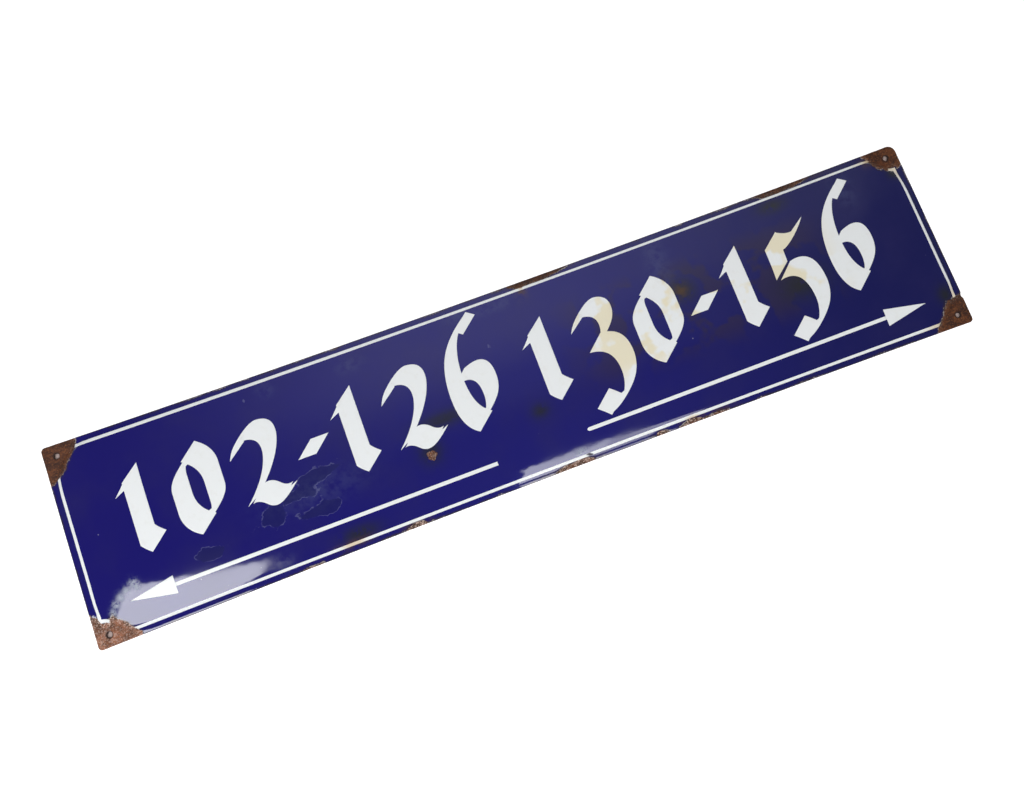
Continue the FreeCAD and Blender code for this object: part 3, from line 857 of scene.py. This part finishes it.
def pen_stroke(bends, corner_x):
    """A stroke as a grid: the pen's path carried with the pen's own thin slanted ellipse. Across
    the path, the ellipse reaches to its matrix times the path's normal, over that one's length."""
    knots = np.array(bends, float) * FIGURE_SCALE + (corner_x, FIGURE_BASE)
    share = np.linspace(0, 1, BEND_STEPS)[:, None]
    arcs = zip(knots[:-2:2], knots[1:-1:2], knots[2::2])
    parts = [a * (1 - share) ** 2 + 2 * b * share * (1 - share) + c * share**2 for a, b, c in arcs]
    path = np.vstack([parts[0][:1]] + [part[1:] for part in parts])
    gone = np.concatenate([[0], np.cumsum(np.hypot(*np.diff(path, axis=0).T))])
    between = np.arange(FROM_START, gone[-1] - FROM_END, STROKE_STEP)
    stops = np.concatenate([NEAR_END, between, gone[-1] - NEAR_END[::-1]])
    heading = np.gradient(path, gone, axis=0)
    path_x, path_y, head_x, head_y = (np.interp(stops, gone, line) for line in (*path.T, *heading.T))
    normal = np.stack([-head_y, head_x]) / np.hypot(head_x, head_y)
    turn = np.array([[np.cos(PEN_SLANT), -np.sin(PEN_SLANT)], [np.sin(PEN_SLANT), np.cos(PEN_SLANT)]])
    pen = turn @ np.diag([PEN_HALF**2, PEN_THIN**2]) @ turn.T
    reach = pen @ normal / np.sqrt((normal * (pen @ normal)).sum(0))
    x = path_x[:, None] + reach[0][:, None] * PEN_ACROSS
    y = path_y[:, None] + reach[1][:, None] * PEN_ACROSS
    half_width = np.abs((normal * reach).sum(0))[:, None]
    from_side = half_width * (1 - np.abs(PEN_ACROSS))
    from_end = np.minimum(stops, gone[-1] - stops)[:, None]
    return x * MM, y * MM, rounded_rise(np.minimum(from_side, from_end) * MM)


for name, (text, start_x) in GROUPS.items():
    points, faces, count = [], [], 0
    for letter in text:
        width, strokes = FIGURES[letter]
        for order, bends in enumerate(strokes):
            x, y, rise = pen_stroke(bends, start_x)
            new_points, new_faces = fired_layer(x, y, rise, first=count, extra=order * STROKE_LIFT)
            points.append(new_points)
            faces.append(new_faces)
            count += len(new_points)
        start_x += width * FIGURE_SCALE
    white_piece(name, np.vstack(points), np.vstack(faces))

# Stone chip
# A single chip in the panel, left of the middle, where a stone broke the glass and a scab of rust
# has grown out of it.
CHIP_CENTRE = (-102 * MM, -37 * MM)
CHIP_RADIUS = 4.7 * MM
CHIP_RISE = 0.35 * MM
CHIP_LUMPY, CHIP_LUMPY_CELL = 0.3, 1.6 * MM

# Rings of a circle that three waves round it make ragged. The rise is half an ellipse, with lumps.
bearings, shares = np.linspace(0, 2 * np.pi, 48, endpoint=False), np.linspace(0.01, 1, 14)
bearing, share = np.meshgrid(bearings, shares, indexing="ij")
ragged = 1 + 0.1 * np.sin(3 * bearing + 0.6) + 0.08 * np.sin(5 * bearing + 2) + 0.04 * np.sin(11 * bearing)
x = CHIP_CENTRE[0] + CHIP_RADIUS * share * ragged * np.cos(bearing)
y = CHIP_CENTRE[1] + CHIP_RADIUS * share * ragged * np.sin(bearing)
lumpy = 1 + CHIP_LUMPY * mottle(x, y, CHIP_LUMPY_CELL, 21)
rise = CHIP_RISE / LAYER * np.sqrt(1 - share**2) * lumpy
points, faces = fired_layer(x, y, rise, ring=True)
chip = new_piece("stone_chip", points, faces, "rusted_steel", rusted_steel)
for name, value in (("fresh_and_lit", 0.35), ("crumbs", 0.3), ("shade", 0)):
    store(chip, name, np.full(len(points), value))

# Table, lamps and camera
# Not part of the sign: a white table with painted shade under the sign, tinted pink like light off
# the rust, a soft box to the lower left, one below with a dimmer edge, a fill lamp and a glow behind,
# and a camera that looks down from a little below and left of the middle.
TABLE_SIZE = 12
TABLE_LEVEL = -0.3 * MM
TABLE_GLOW = 0.6
GLOWS_WHITE_FROM = (0.6, 1.2)
WHITE_PAPER = (0.8, 0.8, 0.8, 1)
PAINTED_SHADE_UNDER_SIGN = (0.42, 0.33, 0.3, 1)
SHADE_REACH = (HALF_LENGTH - 4 * MM, HALF_HEIGHT - SIDE_DRAW_IN - MM)
SHADE_FADE = 2 * MM
PAPER_AS_LIGHT = (0.7, 0.7, 0.7, 1)
bpy.ops.mesh.primitive_plane_add(size=TABLE_SIZE, location=(0, 0, TABLE_LEVEL))
table = bpy.context.object
table.name = "table"
paper = bpy.data.materials.new("table_paper")
paper.use_nodes = True
tree = paper.node_tree
tree.nodes.remove(tree.nodes["Principled BSDF"])
spot = add_node(tree, "ShaderNodeSeparateXYZ", {0: place_on_piece(tree)})
beyond = [sum_up(tree, "ABSOLUTE", spot.outputs[axis]) for axis in ("X", "Y")]
beyond = [ramp(tree, reach, edge - SHADE_FADE, edge) for reach, edge in zip(beyond, SHADE_REACH)]
beyond = sum_up(tree, "MAXIMUM", *beyond)
# Under the sign the paper takes the painted shade's darker, pinkish colour.
shaded_paper = blend(tree, beyond, PAINTED_SHADE_UNDER_SIGN, WHITE_PAPER)
matt = add_node(tree, "ShaderNodeBsdfDiffuse", {"Color": shaded_paper}).outputs[0]
far = add_node(tree, "ShaderNodeVectorMath", {0: place_on_piece(tree)}, operation="LENGTH").outputs["Value"]
# The glow also stops under the sign, so the holes show the painted shade.
near_glow = sum_up(tree, "MULTIPLY", beyond, TABLE_GLOW)
strength = sum_up(tree, "MAXIMUM", near_glow, ramp(tree, far, *GLOWS_WHITE_FROM))
glow = add_node(tree, "ShaderNodeEmission", {"Color": (1, 1, 1, 1), "Strength": strength}).outputs[0]
lit = add_node(tree, "ShaderNodeAddShader", {0: matt, 1: glow}).outputs[0]
plain = add_node(tree, "ShaderNodeBsdfDiffuse", {"Color": PAPER_AS_LIGHT}).outputs[0]
path = add_node(tree, "ShaderNodeLightPath")
seen = sum_up(tree, "MAXIMUM", path.outputs["Is Camera Ray"], path.outputs["Is Glossy Ray"])
seen = sum_up(tree, "MAXIMUM", seen, path.outputs["Is Transmission Ray"])
mixed = add_node(tree, "ShaderNodeMixShader", {0: seen, 1: plain, 2: lit}).outputs[0]
tree.links.new(mixed, tree.nodes["Material Output"].inputs["Surface"])
table.data.materials.append(paper)

# The room is dim and glows behind the sign. The camera itself sees it white.
DIM_ROOM = (0.075, 0.075, 0.085, 1)
GLOWING_ROOM = (0.68, 0.68, 0.7, 1)
world = bpy.data.worlds.new("studio")
bpy.context.scene.world = world
world.use_nodes = True
tree = world.node_tree
ray = add_node(tree, "ShaderNodeSeparateXYZ", {0: add_node(tree, "ShaderNodeTexCoord").outputs["Generated"]})
behind = ramp(tree, ray.outputs["Y"], 0.02, 0.34)
left_of_it = ramp(tree, ray.outputs["X"], -0.42, -0.02, 0.05, 1)
right_of_it = ramp(tree, ray.outputs["X"], 0.1, 0.75, 1, 0.15)
glow = sum_up(tree, "MULTIPLY", behind, sum_up(tree, "MULTIPLY", left_of_it, right_of_it))
room = blend(tree, glow, DIM_ROOM, GLOWING_ROOM)
path = add_node(tree, "ShaderNodeLightPath")
sky = blend(tree, path.outputs["Is Camera Ray"], room, (1, 1, 1, 1))
tree.links.new(sky, tree.nodes["Background"].inputs["Color"])

LAMP_HEIGHT = 1.2
LAMP_COLOUR = (0.98, 0.985, 1, 1)


def soft_box(name, corners, radiance):
    """A flat lamp level over the sign, with these corners in metres, seen only in what it lights."""
    glowing = bpy.data.materials.new(name)
    glowing.use_nodes = True
    tree = glowing.node_tree
    tree.nodes.remove(tree.nodes["Principled BSDF"])
    light = add_node(tree, "ShaderNodeEmission", {"Color": LAMP_COLOUR, "Strength": radiance}).outputs[0]
    tree.links.new(light, tree.nodes["Material Output"].inputs["Surface"])
    mesh = bpy.data.meshes.new(name)
    mesh.from_pydata([(*corner, LAMP_HEIGHT) for corner in corners], [], [range(len(corners))])
    mesh.materials.append(glowing)
    lamp = bpy.data.objects.new(name, mesh)
    lamp.visible_camera = False
    bpy.context.scene.collection.objects.link(lamp)


left_corners = [(-1.1, -0.045), (-0.64, -0.205), (-0.69, -0.32), (-0.8, -0.95), (-1.85, -0.55),
                (-1.28, -0.16)]
below_corners = [(0.03, -0.23), (0.26, -0.24), (0.3, -1.8), (0.03, -1.8)]
edge_corners = [(0.26, -0.24), (0.37, -0.255), (0.46, -0.38), (0.56, -0.6), (0.56, -1.8), (0.3, -1.8)]
fill_corners = [(0.5, 0.4), (1.5, 0.4), (1.5, 1.5), (0.5, 1.5)]
soft_box("soft_box_left", left_corners, radiance=9.7)
soft_box("soft_box_below", below_corners, radiance=7.0)
soft_box("soft_box_below_edge", edge_corners, radiance=4.5)
soft_box("fill_behind", fill_corners, radiance=2.2)
bpy.data.objects["fill_behind"].visible_glossy = False

# The camera's focal length and the picture's width are in pixels, and its place is in millimetres.
SENSOR_WIDTH = 36
FOCAL_LENGTH, PICTURE_WIDTH = 750, 1024
CAMERA_PLACE = np.array([-58.8, -97.1, 725.2]) * MM
photo_camera = bpy.data.cameras.new("camera")
photo_camera.sensor_width = SENSOR_WIDTH
photo_camera.lens = FOCAL_LENGTH / PICTURE_WIDTH * SENSOR_WIDTH
camera = bpy.data.objects.new("camera", photo_camera)
bpy.context.scene.collection.objects.link(camera)
toward = np.array([0.06667, 0.12089, -0.99042])
upward = np.array([0.34533, 0.92849, 0.13658])
upward -= toward * (upward @ toward) / (toward @ toward)
axes = np.stack([np.cross(toward, upward), upward, -toward], axis=1)
placed = np.eye(4)
placed[:3, :3] = axes / np.linalg.norm(axes, axis=0)
placed[:3, 3] = CAMERA_PLACE
camera.matrix_world = placed.T
bpy.context.scene.camera = camera

view = bpy.context.scene.view_settings
view.view_transform = "Standard"
